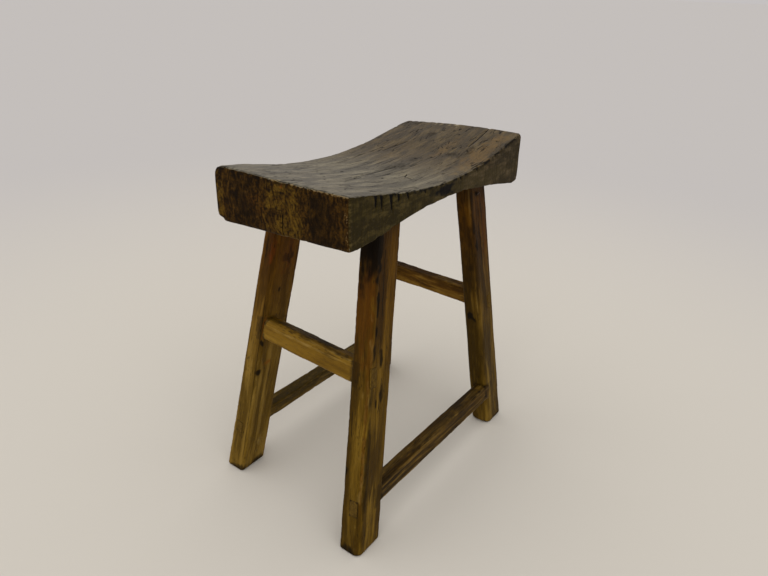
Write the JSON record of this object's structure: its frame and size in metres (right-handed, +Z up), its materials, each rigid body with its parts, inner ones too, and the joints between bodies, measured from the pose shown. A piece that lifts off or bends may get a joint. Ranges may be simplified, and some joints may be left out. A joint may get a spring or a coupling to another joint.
{
  "type": "saddle stool",
  "caption": "Tall rustic wooden stool with a thick saddle-shaped plank seat on splayed rectangular legs tied by end and side stretchers, joined by mortise and tenon.",
  "frame": {"origin": "on the floor, in the middle of the stool's overall length and width", "axes": "+X along the seat, from the near end to the far end; +Y across the seat, towards the left legs; +Z up"},
  "size_m": [0.4414, 0.284, 0.5074],
  "materials": {
    "seat_wood": "worn, waxed",
    "leg_wood": "worn, waxed",
    "end_rail_wood": "worn, waxed",
    "side_rail_wood": "worn, waxed",
    "nail_iron": "dark, rusted"
  },
  "bodies": {
    "root": {"seat": "seat_wood", "leg_near_left": "leg_wood", "leg_near_right": "leg_wood", "leg_far_right": "leg_wood", "leg_far_left": "leg_wood", "end_rail_near": "end_rail_wood", "end_rail_far": "end_rail_wood", "side_rail_left": "side_rail_wood", "side_rail_right": "side_rail_wood", "seat_nail": "nail_iron"}
  },
  "joints": []
}
